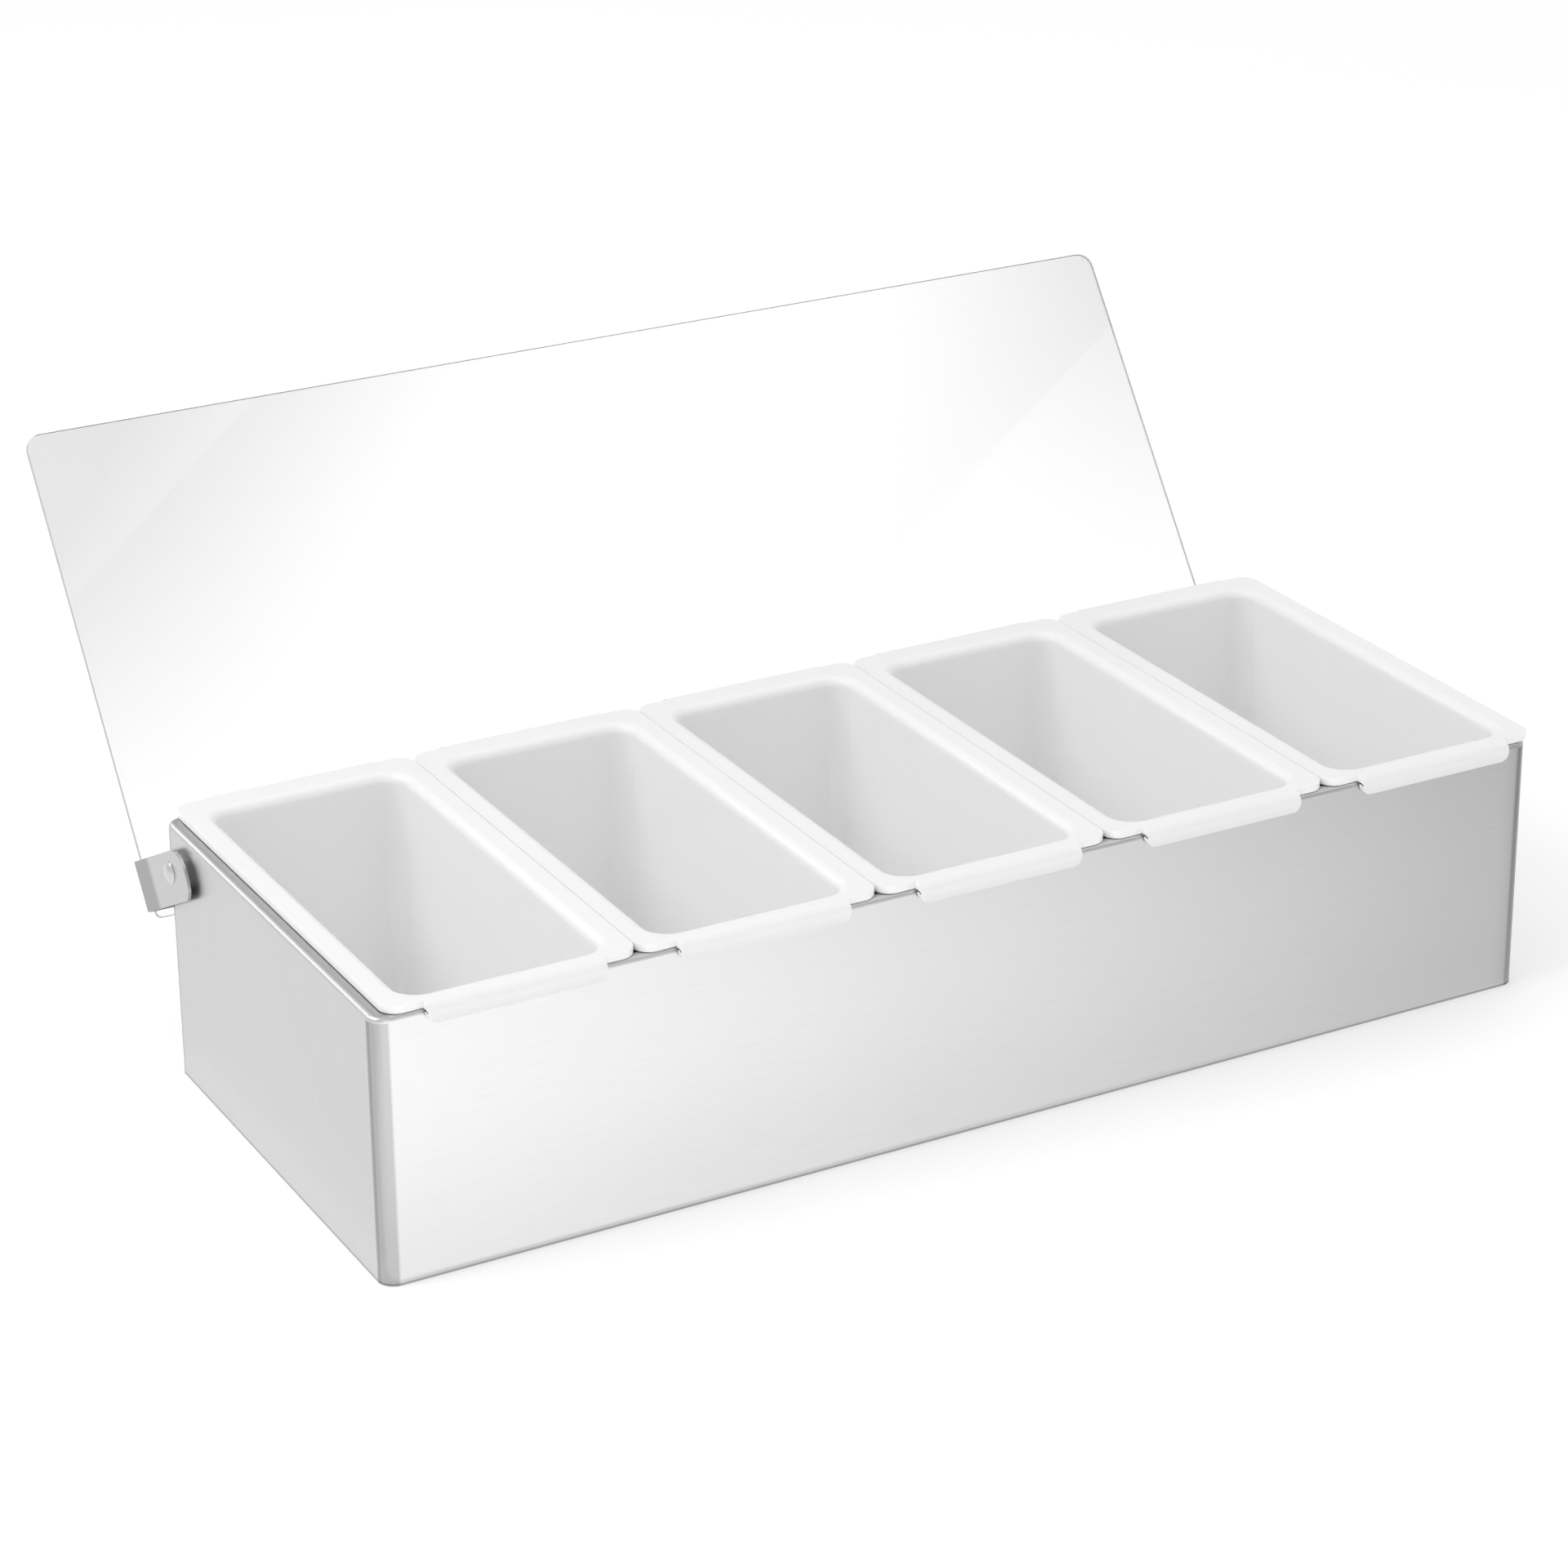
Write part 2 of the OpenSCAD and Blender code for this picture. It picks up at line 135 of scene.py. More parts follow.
SOFTBOXES = (
    dict(name="left_softbox", place=(-0.8, 0.15, 0.9), wide=0.8, tall=0.6, watts=3.5),
    dict(name="top_softbox", place=(0.1, 0.2, 1.6), wide=1.6, tall=1.2, watts=1.5),
)
CARDS = (
    dict(name="front_floor_card", place=(0.15, -0.393, CARD_HEIGHT), turn=(0, 0, 0),
         wide=0.9, tall=0.634, start=1.78, end=0.42, near=0.80),
    dict(name="left_floor_card", place=(-0.62, 0.35, CARD_HEIGHT), turn=(0, 0, 0),
         wide=0.84, tall=0.86, start=0.95, end=1.03),
    dict(name="lip_card_back", place=(-0.55, 0.80, 0.52), turn=(62, 0, 28),
         wide=1.0, tall=0.16, start=4.5, end=4.5),
    dict(name="lip_card_front", place=(0.55, -0.42, 0.95), turn=(35, 0, 50),
         wide=1.1, tall=0.34, start=1.8, end=1.8, soft=0.8),
    dict(name="front_wall_card", place=(0.30, -0.85, 0.40), turn=(90, 0, 0),
         wide=1.6, tall=0.8, start=1.3, end=0.3),
)


def length(name, default, about):
    """A length property, in metres."""
    return bpy.props.FloatProperty(name=name, default=default, description=about, unit="LENGTH",
                                   precision=4)


def angle(name, default, about):
    """An angle property, given in degrees."""
    return bpy.props.FloatProperty(name=name, default=math.radians(default), description=about,
                                   subtype="ANGLE")


def share(name, default, about):
    """A plain number from 0 to 1."""
    return bpy.props.FloatProperty(name=name, default=default, description=about, min=0.0, max=1.0,
                                   subtype="FACTOR")


def colour(name, default, about):
    """A linear colour property."""
    return bpy.props.FloatVectorProperty(name=name, default=default, description=about, size=3,
                                         min=0.0, max=1.0, subtype="COLOR")


# Settings

class InsertSizes(bpy.types.PropertyGroup):
    """Sizes of a white insert that its box doesn't give"""

    wall: length("Wall", 2.2 * MM, "Thickness of the plastic")
    rim_corner: length("Rim corner", 5 * MM, "Outer corner radius of the rim")
    side_flat: length("Side flat", 4.8 * MM, "Width of the rim's flat at its sides")
    front_flat: length("Front flat", 2.4 * MM, "Width of the rim's flat at its front")
    rear_flat: length("Rear flat", 6.4 * MM, "Width of the rim's flat at its rear")
    lip: length("Lip", 3 * MM, "Radius that rolls the rim over into the cup")
    draft: angle("Draft", 2, "Lean of the cup walls")
    mouth_corner: length("Mouth corner", 7 * MM, "Upright corner radius at the cup's mouth")
    floor_bend: length("Floor bend", 3.5 * MM, "Radius between the cup's walls and floor")
    tab_inset: length("Tab inset", 11 * MM, "Distance from a rim's side to the end of its tab")
    tab_reach: length("Tab reach", 3 * MM, "How far a tab passes the rim's edge")
    tab_drop: length("Tab drop", 3.5 * MM, "How far a tab hangs below the body's top")
    tab_roll: length("Tab roll", 3 * MM, "Radius where the rim rolls over into a tab")
    tab_corner: length("Tab corner", 2.8 * MM, "Radius of a tab's lower corners")
    edge: length("Edge", 0.3 * MM, "Softness of the moulded edges")


class LidSizes(bpy.types.PropertyGroup):
    """Sizes of the clear lid"""

    thick: length("Thickness", 2 * MM, "Thickness of the clear sheet")
    offset: length("Offset", 30.9 * MM, "Distance from the pivot to the sheet")
    reach: length("Reach", 145.745 * MM, "Distance from the pivot to the free edge, along the sheet")
    heel: length("Heel", 7 * MM, "How far the sheet runs past the pivot the other way")
    side_gap: length("Side gap", 0.2 * MM, "How far the sheet stays inside the body's length")
    free_corner: length("Free corner", 5 * MM, "Corner radius of the free edge")
    heel_corner: length("Heel corner", 2 * MM, "Corner radius of the hinged edge")
    lean: angle("Lean", 36, "Lean of the open lid, back from upright")
    edge: length("Edge", 0.25 * MM, "Softness of the sawn edges")


class Finishes(bpy.types.PropertyGroup):
    """Colours and gloss of the materials"""

    steel: colour("Steel", (0.62, 0.62, 0.623), "Satin stainless steel")
    steel_gloss: share("Steel roughness", 0.34, "Roughness of the satin steel")
    polished: colour("Polished steel", (0.66, 0.66, 0.66), "Steel of the brackets and rivets")
    plastic: colour("Plastic", (0.945, 0.945, 0.945), "White polypropylene")
    plastic_gloss: share("Plastic roughness", 0.30, "Roughness of the white plastic")
    clear: colour("Clear sheet", (0.995, 0.995, 0.995), "Clear polycarbonate")
    floor: colour("Floor", (0.93, 0.93, 0.93), "The pale floor")


GROUPS = {"caddy_insert": InsertSizes, "caddy_lid": LidSizes, "caddy_finish": Finishes}


# Making meshes

def start_clean():
    """Leaves edit mode and deselects everything."""
    if bpy.context.object and bpy.context.object.mode == "EDIT":
        bpy.ops.object.mode_set(mode="OBJECT")
    bpy.ops.object.select_all(action="DESELECT")


def pick(obj):
    """Makes an object the only selected one, and the active one."""
    start_clean()
    obj.select_set(True)
    bpy.context.view_layer.objects.active = obj


def edit(obj, mode="VERT"):
    """Enters edit mode on an object with nothing selected."""
    pick(obj)
    bpy.ops.object.mode_set(mode="EDIT")
    bpy.ops.mesh.select_mode(type=mode)
    bpy.ops.mesh.select_all(action="DESELECT")


def choose(obj, kind, test):
    """Selects the verts, edges or faces of the mesh in edit mode that pass a test."""
    mesh = bmesh.from_edit_mesh(obj.data)
    for part in getattr(mesh, kind):
        if test(part):
            part.select_set(True)
    mesh.select_flush_mode()
    bmesh.update_edit_mesh(obj.data)


def add_plane(name, low, high):
    """A flat rectangle on z = 0 between two corners, in its own mesh's coordinates."""
    start_clean()
    bpy.ops.mesh.primitive_plane_add(size=1, location=(0, 0, 0))
    obj = bpy.context.object
    obj.name = name
    obj.scale = (high[0] - low[0], high[1] - low[1], 1)
    obj.location = ((low[0] + high[0]) / 2, (low[1] + high[1]) / 2, 0)
    bpy.ops.object.transform_apply(location=True, rotation=True, scale=True)
    return obj


def round_corners(obj, radius, steps, test):
    """Rounds the flat corners that pass a test."""
    edit(obj)
    choose(obj, "verts", test)
    bpy.ops.mesh.bevel(offset=radius, segments=steps, affect="VERTICES", profile=0.5)


def apply_modifier(obj, kind, **values):
    """Adds a modifier with these values, and applies it."""
    pick(obj)
    modifier = obj.modifiers.new(kind.lower(), kind)
    for name, value in values.items():
        setattr(modifier, name, value)
    bpy.ops.object.modifier_apply(modifier=modifier.name)


def soften(obj, edge, steps=3, sharp=40):
    """Rounds an object's sharp edges and shades it smooth."""
    apply_modifier(obj, "BEVEL", width=edge, segments=steps, limit_method="ANGLE",
                   angle_limit=math.radians(sharp), use_clamp_overlap=True)
    pick(obj)
    bpy.ops.object.shade_smooth_by_angle(angle=math.radians(sharp))
    apply_modifier(obj, "WEIGHTED_NORMAL", keep_sharp=True)


def settle(obj, material, body, slot, *nodes):
    """Gives a finished piece its material and its body, and hides the CAD nodes that it stands for."""
    pick(obj)
    bpy.ops.object.transform_apply(location=True, rotation=True, scale=True)
    obj.data.materials.clear()
    obj.data.materials.append(material)
    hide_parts(*nodes)
    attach(obj, body)


def dress(node, material):
    """Puts a material on a CAD node, and leaves its mesh alone."""
    for slot in frame["nodes"][node].material_slots:
        slot.link = "OBJECT"
        slot.material = material


# Materials

def new_group(name, inputs, outputs):
    """A shader node group with these sockets, given as name: (type, default)."""
    tree = bpy.data.node_groups.new(name, "ShaderNodeTree")
    for label, (kind, default) in inputs.items():
        socket = tree.interface.new_socket(label, in_out="INPUT", socket_type=kind)
        if default is not None:
            socket.default_value = default
    for label, kind in outputs.items():
        tree.interface.new_socket(label, in_out="OUTPUT", socket_type=kind)
    return tree, tree.nodes.new("NodeGroupInput"), tree.nodes.new("NodeGroupOutput")


def add_node(tree, kind, **values):
    """A node whose properties and sockets take these values."""
    node = tree.nodes.new(kind)
    for name, value in values.items():
        if hasattr(node, name):
            setattr(node, name, value)
        else:
            node.inputs[name.replace("_", " ")].default_value = value
    return node


def add_maths(tree, operation, first, second=None, clamp=False):
    """A maths node on sockets or numbers; gives its output."""
    node = add_node(tree, "ShaderNodeMath", operation=operation, use_clamp=clamp)
    for socket, value in zip(node.inputs, (first, second)):
        if isinstance(value, bpy.types.NodeSocket):
            tree.links.new(value, socket)
        elif value is not None:
            socket.default_value = value
    return node.outputs[0]


def multiply(tree, first, *others):
    """Sockets or numbers multiplied one after the other; gives the last output."""
    for value in others:
        first = add_maths(tree, "MULTIPLY", first, value)
    return first


def split_place(tree, place):
    """The piece's own x, y and z at a point, as the outputs of a node."""
    split = add_node(tree, "ShaderNodeSeparateXYZ")
    tree.links.new(place.outputs["Object"], split.inputs[0])
    return split.outputs


def grain_group():
    """Streaks: noise that is stretched by a different amount along each axis."""
    tree, source, result = new_group(
        "streaks",
        {"Vector": ("NodeSocketVector", None), "Stretch": ("NodeSocketVector", (1, 1, 1)),
         "Detail": ("NodeSocketFloat", 4.0)},
        {"Streaks": "NodeSocketFloat"})
    scaled = add_node(tree, "ShaderNodeVectorMath", operation="MULTIPLY")
    noise = add_node(tree, "ShaderNodeTexNoise", Scale=1.0, Roughness=0.65)
    links = tree.links
    links.new(source.outputs["Vector"], scaled.inputs[0])
    links.new(source.outputs["Stretch"], scaled.inputs[1])
    links.new(scaled.outputs[0], noise.inputs["Vector"])
    links.new(source.outputs["Detail"], noise.inputs["Detail"])
    links.new(noise.outputs["Fac"], result.inputs["Streaks"])
    return tree


def cloud_group():
    """Broad soft patches, for handling marks and slight unevenness."""
    tree, source, result = new_group(
        "clouds",
        {"Vector": ("NodeSocketVector", None), "Scale": ("NodeSocketFloat", 20.0)},
        {"Clouds": "NodeSocketFloat"})
    noise = add_node(tree, "ShaderNodeTexNoise", Detail=2.0, Roughness=0.5)
    tree.links.new(source.outputs["Vector"], noise.inputs["Vector"])
    tree.links.new(source.outputs["Scale"], noise.inputs["Scale"])
    tree.links.new(noise.outputs["Fac"], result.inputs["Clouds"])
    return tree


def shared_group(name, make):
    """A node group that is made once."""
    return bpy.data.node_groups.get(name) or make()


def new_material(name):
    """A material, its node tree, its shader and the piece's own coordinates."""
    material = bpy.data.materials.new(name)
    material.use_nodes = True
    tree = material.node_tree
    place = tree.nodes.new("ShaderNodeTexCoord")
    return material, tree, tree.nodes["Principled BSDF"], place


def add_streaks(tree, place, stretch, detail=4.0):
    """Streaks along an axis; gives their value."""
    node = add_node(tree, "ShaderNodeGroup", node_tree=shared_group("streaks", grain_group),
                    Stretch=stretch, Detail=detail)
    tree.links.new(place.outputs["Object"], node.inputs["Vector"])
    return node.outputs["Streaks"]


def add_clouds(tree, place, scale):
    """Soft patches of a size; gives their value."""
    node = add_node(tree, "ShaderNodeGroup", node_tree=shared_group("clouds", cloud_group),
                    Scale=scale)
    tree.links.new(place.outputs["Object"], node.inputs["Vector"])
    return node.outputs["Clouds"]


def add_range(tree, value, low, high, start=0.0, end=1.0, kind="LINEAR"):
    """Maps start to end onto low to high, and holds it there beyond; gives the result."""
    node = add_node(tree, "ShaderNodeMapRange", interpolation_type=kind, From_Min=start, From_Max=end,
                    To_Min=low, To_Max=high)
    tree.links.new(value, node.inputs["Value"])
    return node.outputs["Result"]


def add_tones(tree, value, tones):
    """A grey ramp through (place, tone) pairs; gives its colour."""
    node = add_node(tree, "ShaderNodeValToRGB")
    stops = node.color_ramp.elements
    while len(stops) < len(tones):
        stops.new(0.5)
    for stop, (where, tone) in zip(stops, tones):
        stop.position = where
        stop.color = (tone, tone, tone, 1)
    tree.links.new(value, node.inputs["Fac"])
    return node.outputs["Color"]


def add_bump(tree, height, strength, distance, shader):
    """Bumps a shader's normal by a height."""
    bump = add_node(tree, "ShaderNodeBump", Strength=strength, Distance=distance)
    tree.links.new(height, bump.inputs["Height"])
    tree.links.new(bump.outputs["Normal"], shader.inputs["Normal"])


def tint(tree, shade, value, shader):
    """Sets a shader's base colour to a colour times a value."""
    mix = add_node(tree, "ShaderNodeVectorMath", operation="SCALE")
    mix.inputs[0].default_value = shade
    tree.links.new(value, mix.inputs["Scale"])
    tree.links.new(mix.outputs[0], shader.inputs["Base Color"])


def bend_place(tree, spot):
    """How far round the upright corners a point is, in x and in y, from 0 to 1."""
    found = []
    for axis, edge in (("X", BODY_HIGH.x), ("Y", BODY_HIGH.y)):
        size = add_maths(tree, "ABSOLUTE", spot[axis])
        past = add_maths(tree, "SUBTRACT", size, edge - BEND_RADIUS)
        found.append(add_maths(tree, "DIVIDE", past, BEND_RADIUS, clamp=True))
    return found


def corner_painted_shade(tree, spot, forward):
    """Painted shade: the corners are darker, with a darker line where the end wall starts."""
    top = add_maths(tree, "GREATER_THAN", spot["Z"], BODY_HIGH.z - TOP_BAND)
    return add_maths(tree, "MAXIMUM", add_tones(tree, forward, BEND_SHADES), top)


def right_painted_shade(tree, spot, forward):
    """Painted shade: the front and rear darken towards the right end."""
    past = add_maths(tree, "SUBTRACT", spot["X"], BODY_HIGH.x - RIGHT_FADE)
    share_past = add_maths(tree, "DIVIDE", past, RIGHT_FADE, clamp=True)
    return add_range(tree, multiply(tree, share_past, share_past, forward), 1.0, RIGHT_SHADE)


def foot_painted_shade(tree, spot):
    """Painted shade: a dark line along the lower edge, where the body meets the floor."""
    foot = add_maths(tree, "LESS_THAN", spot["Z"], FOOT_LINE)
    return add_range(tree, foot, 1.0, FOOT_SHADE)


def flange_painted_shade(tree, spot, across):
    """Painted shade: the end flanges' flat is darker inside its outer edge, next to the rims."""
    flat = add_maths(tree, "GREATER_THAN", spot["Z"], BODY_HIGH.z - FLANGE_DEPTH)
    inner = add_maths(tree, "LESS_THAN", across, 1 - FLANGE_EDGE / BEND_RADIUS)
    beside = add_maths(tree, "GREATER_THAN", across, 0.0)
    return add_range(tree, multiply(tree, flat, inner, beside), 1.0, FLANGE_SHADE)


def satin_steel():
    """Satin sheet: brushed along the front, upright on the ends and the bent corners, with painted
    shade on the corners, towards the right end, along the foot and on the end flanges.
    """
    finish = bpy.context.scene.caddy_finish
    material, tree, shader, place = new_material("satin_steel")
    shader.inputs["Metallic"].default_value = 1.0
    spot = split_place(tree, place)
    across, forward = bend_place(tree, spot)
    long, fine = BRUSHING
    streaks = add_node(tree, "ShaderNodeMix")
    tree.links.new(add_maths(tree, "GREATER_THAN", across, BEND_START), streaks.inputs["Factor"])
    tree.links.new(add_streaks(tree, place, (long, fine, fine)), streaks.inputs["A"])
    tree.links.new(add_streaks(tree, place, (fine, fine, long)), streaks.inputs["B"])
    grain = streaks.outputs["Result"]
    patches = add_clouds(tree, place, 14)
    # Painted shade on the corners, towards the right end, along the foot and on the end flanges, times
    # the grain and the patches
    tone = multiply(tree, corner_painted_shade(tree, spot, forward), right_painted_shade(tree, spot, forward),
                    foot_painted_shade(tree, spot), flange_painted_shade(tree, spot, across),
                    add_range(tree, grain, 0.91, 1.08), add_range(tree, patches, 0.97, 1.03))
    tint(tree, finish.steel, tone, shader)
    rough = add_maths(tree, "ADD", add_range(tree, grain, -0.06, 0.06), finish.steel_gloss)
    rough = add_maths(tree, "ADD", rough, add_range(tree, patches, -0.03, 0.03), clamp=True)
    tree.links.new(rough, shader.inputs["Roughness"])
    add_bump(tree, grain, 0.16, 0.03 * MM, shader)
    return material


def square_to_lid(lid):
    """The direction square to the open sheet, from the pivot towards it."""
    return Vector((0, math.cos(lid.lean), -math.sin(lid.lean)))


def polished_steel(name, grain, rough, bump):
    """Bright steel with a faint even grain, of so many marks to the metre."""
    finish = bpy.context.scene.caddy_finish
    material, tree, shader, place = new_material(name)
    shader.inputs["Metallic"].default_value = 1.0
    marks = add_streaks(tree, place, (grain, grain, grain))
    patches = add_clouds(tree, place, 90)
    tint(tree, finish.polished, add_range(tree, marks, 0.92, 1.08), shader)
    gloss = add_maths(tree, "ADD", add_range(tree, marks, -0.04, 0.04), rough)
    gloss = add_maths(tree, "ADD", gloss, add_range(tree, patches, -0.03, 0.03), clamp=True)
    tree.links.new(gloss, shader.inputs["Roughness"])
    add_bump(tree, marks, bump, 0.03 * MM, shader)
    return material


def bracket_steel():
    """Polished steel that is greyer on the ears, with painted shade that darkens them towards their
    bend.
    """
    lid = bpy.context.scene.caddy_lid
    material, tree, shader, place = new_material("bracket_steel")
    shader.inputs["Metallic"].default_value = 1.0
    long, fine = BRACKET_GRAIN
    grain = add_streaks(tree, place, (long, fine, fine))
    # How far a point lies from the pivot, square to the open sheet
    square = square_to_lid(lid)
    along = add_node(tree, "ShaderNodeVectorMath", operation="DOT_PRODUCT")
    along.inputs[1].default_value = square
    tree.links.new(place.outputs["Object"], along.inputs[0])
    start, end = (PIVOT.dot(square) + distance for distance in EAR_BEND)
    # Painted shade darkens the ears towards their bend
    bend = add_range(tree, along.outputs["Value"], *EAR_SHADES, start, end)
    tone = multiply(tree, add_range(tree, grain, 0.92, 1.08), bend)
    tint(tree, bpy.context.scene.caddy_finish.polished, tone, shader)
    tree.links.new(add_range(tree, grain, 0.12, 0.2), shader.inputs["Roughness"])
    add_bump(tree, grain, 0.15, 0.03 * MM, shader)
    return material


def tab_painted_shade(tree, spot):
    """Painted shade, greyer down the hanging tabs, which alone lie outside the body's front and rear.
    """
    drop = bpy.context.scene.caddy_insert.tab_drop
    outside = add_maths(tree, "GREATER_THAN", add_maths(tree, "ABSOLUTE", spot["Y"]), BODY_HIGH.y)
    down = add_range(tree, spot["Z"], 0.0, 1.0, BODY_HIGH.z + drop / 2, BODY_HIGH.z - drop)
    return add_range(tree, multiply(tree, down, outside), 1.0, TAB_SHADE)


def white_plastic():
    """Moulded polypropylene: soft gloss, a faint texture, painted shade on the rims and tabs, and
    painted light that whitens it down in the cups.
    """
    finish = bpy.context.scene.caddy_finish
    material, tree, shader, place = new_material("white_plastic")
    patches = add_clouds(tree, place, 35)
    fine = add_clouds(tree, place, 1400)
    spot = split_place(tree, place)
    # Painted shade at the rim, rising to painted light down in the cups
    depth = add_range(tree, spot["Z"], *CUP_PAINTED_LIGHT, BODY_HIGH.z - CUP_TOP, BODY_HIGH.z / 2)
    tone = multiply(tree, add_range(tree, patches, 0.99, 1.01), depth, tab_painted_shade(tree, spot))
    tint(tree, finish.plastic, tone, shader)
    gloss = add_maths(tree, "ADD", add_range(tree, fine, -0.05, 0.05), finish.plastic_gloss)
    tree.links.new(gloss, shader.inputs["Roughness"])
    shader.inputs["Subsurface Weight"].default_value = 0.2
    shader.inputs["Subsurface Radius"].default_value = (1.0, 1.0, 1.0)
    shader.inputs["Subsurface Scale"].default_value = 1.2 * MM
    shader.inputs["IOR"].default_value = PLASTIC_IOR
    add_bump(tree, fine, 0.08, 0.02 * MM, shader)
    return material


def clear_sheet():
    """Clear polycarbonate: polished faces with the faintest ripple, and painted shade that greys the
    upper corners.
    """
    finish = bpy.context.scene.caddy_finish
    material, tree, shader, place = new_material("clear_sheet")
    patches = add_clouds(tree, place, 16)
    spot = split_place(tree, place)
    # Painted shade greys the sheet towards its upper corners, away from the middle
    out = add_maths(tree, "DIVIDE", spot["X"], BODY_HIGH.x)
    out = add_maths(tree, "SUBTRACT", out, SHADE_MIDDLE)
    high = add_range(tree, spot["Z"], 0.1, 1.0, PIVOT.z, CAD_BOX[1][2])
    sheet_painted_shade = add_range(tree, multiply(tree, out, out, high), 1.0, SHEET_SHADE)
    tint(tree, finish.clear, multiply(tree, sheet_painted_shade, add_range(tree, patches, 0.99, 1.0)), shader)
    shader.inputs["Transmission Weight"].default_value = 1.0
    shader.inputs["IOR"].default_value = PLASTIC_IOR
    tree.links.new(add_range(tree, patches, 0.0, 0.03), shader.inputs["Roughness"])
    add_bump(tree, patches, 0.02, 0.5 * MM, shader)
    return material


def sawn_edge():
    """The clear sheet's cut edge: lightly frosted, greyer than its faces, with fine saw marks."""
    material, tree, shader, place = new_material("sawn_edge")
    marks = add_streaks(tree, place, (SAW_MARKS, SAW_MARKS, SAW_MARKS), detail=2.0)
    tint(tree, (0.70, 0.71, 0.71), add_range(tree, marks, 0.92, 1.05), shader)
    shader.inputs["Transmission Weight"].default_value = 0.45
    shader.inputs["IOR"].default_value = PLASTIC_IOR
    tree.links.new(add_range(tree, marks, 0.30, 0.45), shader.inputs["Roughness"])
    add_bump(tree, marks, 0.1, 0.02 * MM, shader)
    return material


# The inserts

def arc_points(centre, radius, start, end, steps):
    """Points along an arc in a plane, angles in radians."""
    turns = [start + (end - start) * i / steps for i in range(steps + 1)]
    return [(centre[0] + radius * math.cos(a), centre[1] + radius * math.sin(a)) for a in turns]


def cup_points(sizes, top, floor):
    """The cup's inside from mouth to floor, as (distance out, height) of a corner's section."""
    lean = math.tan(sizes.draft)
    mouth = sizes.mouth_corner + sizes.lip * (
        math.cos(sizes.draft) - (1 - math.sin(sizes.draft)) * lean)
    drop = top - floor - sizes.floor_bend * (1 - math.sin(sizes.draft))
    foot = sizes.mouth_corner - drop * lean - sizes.floor_bend * math.cos(sizes.draft)
    roll = arc_points((mouth, top - sizes.lip), sizes.lip, math.pi / 2, math.pi - sizes.draft,
                      ROLL_STEPS)
    fillet = arc_points((foot, floor + sizes.floor_bend), sizes.floor_bend, -sizes.draft,
                        -math.pi / 2, ROLL_STEPS)
    return roll + fillet


def sink_cup(obj, points):
    """Sinks a flat face along a profile, one inset for each step."""
    edit(obj, "FACE")
    bpy.ops.mesh.select_all(action="SELECT")
    for (out, high), (next_out, next_high) in zip(points, points[1:]):
        bpy.ops.mesh.inset(thickness=out - next_out, depth=next_high - high, use_even_offset=True)
    start_clean()


def is_corner(vert):
    """Whether a flat outline turns by more than 60 degrees at this point."""
    first, second = (edge.other_vert(vert).co - vert.co for edge in vert.link_edges
                     if len(edge.link_faces) < 2)
    return abs(first.normalized().dot(second.normalized())) < 0.5


def score(obj, x):
    """Cuts a flat rectangle across at x and -x, then joins its faces, so that only points stay."""
    for place in (-x, x):
        edit(obj, "FACE")
        bpy.ops.mesh.select_all(action="SELECT")
        bpy.ops.mesh.bisect(plane_co=(place, 0, 0), plane_no=(1, 0, 0))
    edit(obj, "FACE")
    bpy.ops.mesh.select_all(action="SELECT")
    bpy.ops.mesh.dissolve_faces()
    start_clean()


def model_cup(sizes, wide, deep, top, floor):
    """The cup alone, under a mouth that leaves the rim's flats free."""
    points = cup_points(sizes, top, floor)
    mouth_radius = points[0][0]
    half = wide / 2 - sizes.side_flat
    cup = add_plane("cup", (-half, sizes.front_flat - deep / 2), (half, deep / 2 - sizes.rear_flat))
    # The rim's outline has extra points at its tabs. The mouth gets as many, near the ends of
    # its front and rear, so that the band between the two is made of plain quads
    score(cup, 0.9 * (half - mouth_radius))
    round_corners(cup, mouth_radius, CORNER_STEPS, is_corner)
    sink_cup(cup, points)
    return cup


def bridge(rim, cup):
    """Joins the cup to the rim's outline by a band of faces."""
    start_clean()
    cup.select_set(True)
    rim.select_set(True)
    bpy.context.view_layer.objects.active = rim
    bpy.ops.object.join()
    edit(rim, "EDGE")
    choose(rim, "edges", lambda e: len(e.link_faces) < 2)
    bpy.ops.mesh.bridge_edge_loops()


def face_up(obj):
    """Turns all faces one way, so that the lowest, a cup's floor, faces up."""
    edit(obj, "FACE")
    bpy.ops.mesh.select_all(action="SELECT")
    bpy.ops.mesh.normals_make_consistent(inside=False)
    start_clean()
    if min(obj.data.polygons, key=lambda f: f.center.z).normal.z < 0:
        obj.data.flip_normals()


def hang_tab(rim, side, half_tab, edge_y, sizes, low):
    """Draws a tab out of the rim's edge, over the roll and down to its lower edge."""
    def on_edge(e):
        return all(abs(v.co.y - side * edge_y) < NEAR and abs(v.co.x) < half_tab + NEAR
                   for v in e.verts)

    def is_end(v):
        return v.co.z < low + NEAR and v.co.y * side > edge_y and len(v.link_edges) == 2

    edit(rim, "EDGE")
    choose(rim, "edges", on_edge)
    centre = (sizes.tab_reach - sizes.tab_roll, -sizes.tab_roll)
    roll = arc_points(centre, sizes.tab_roll, math.pi / 2, 0, ROLL_STEPS)
    path = [(0, 0)] + roll[1:] + [(sizes.tab_reach, low)]
    for (out, high), (next_out, next_high) in zip(path, path[1:]):
        step = (0, side * (next_out - out), next_high - high)
        bpy.ops.mesh.extrude_region_move(TRANSFORM_OT_translate={"value": step})
    round_corners(rim, sizes.tab_corner, SMALL_STEPS, is_end)


